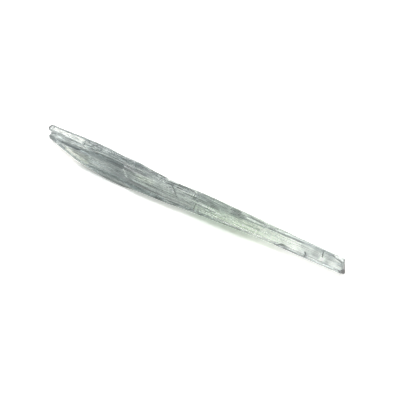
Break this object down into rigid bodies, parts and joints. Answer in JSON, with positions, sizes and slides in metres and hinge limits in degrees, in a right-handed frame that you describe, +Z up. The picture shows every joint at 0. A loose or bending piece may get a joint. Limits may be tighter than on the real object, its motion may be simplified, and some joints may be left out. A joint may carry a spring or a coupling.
{
  "type": "vivianite crystal",
  "caption": "Long, thin, flattened blade of a clear grey-green phosphate crystal, broken into splinters at one end, with slanted faces at the other; a loose display specimen.",
  "frame": {"origin": "middle of the footprint, on the plane the blade lies on", "axes": "+X along the blade from the broken, splintered end to the slim end; +Y across the blade from its near, tapering edge to its straight far edge; +Z up from the flat cleavage face it lies on"},
  "size_m": [0.0866, 0.0076, 0.0033],
  "materials": {
    "vivianite": "clear to cloudy pale grey-green crystal with a glassy to pearly lustre, darker and greyer in the thick part, finely striated lengthwise"
  },
  "bodies": {
    "root": {"crystal": "vivianite"}
  },
  "joints": []
}
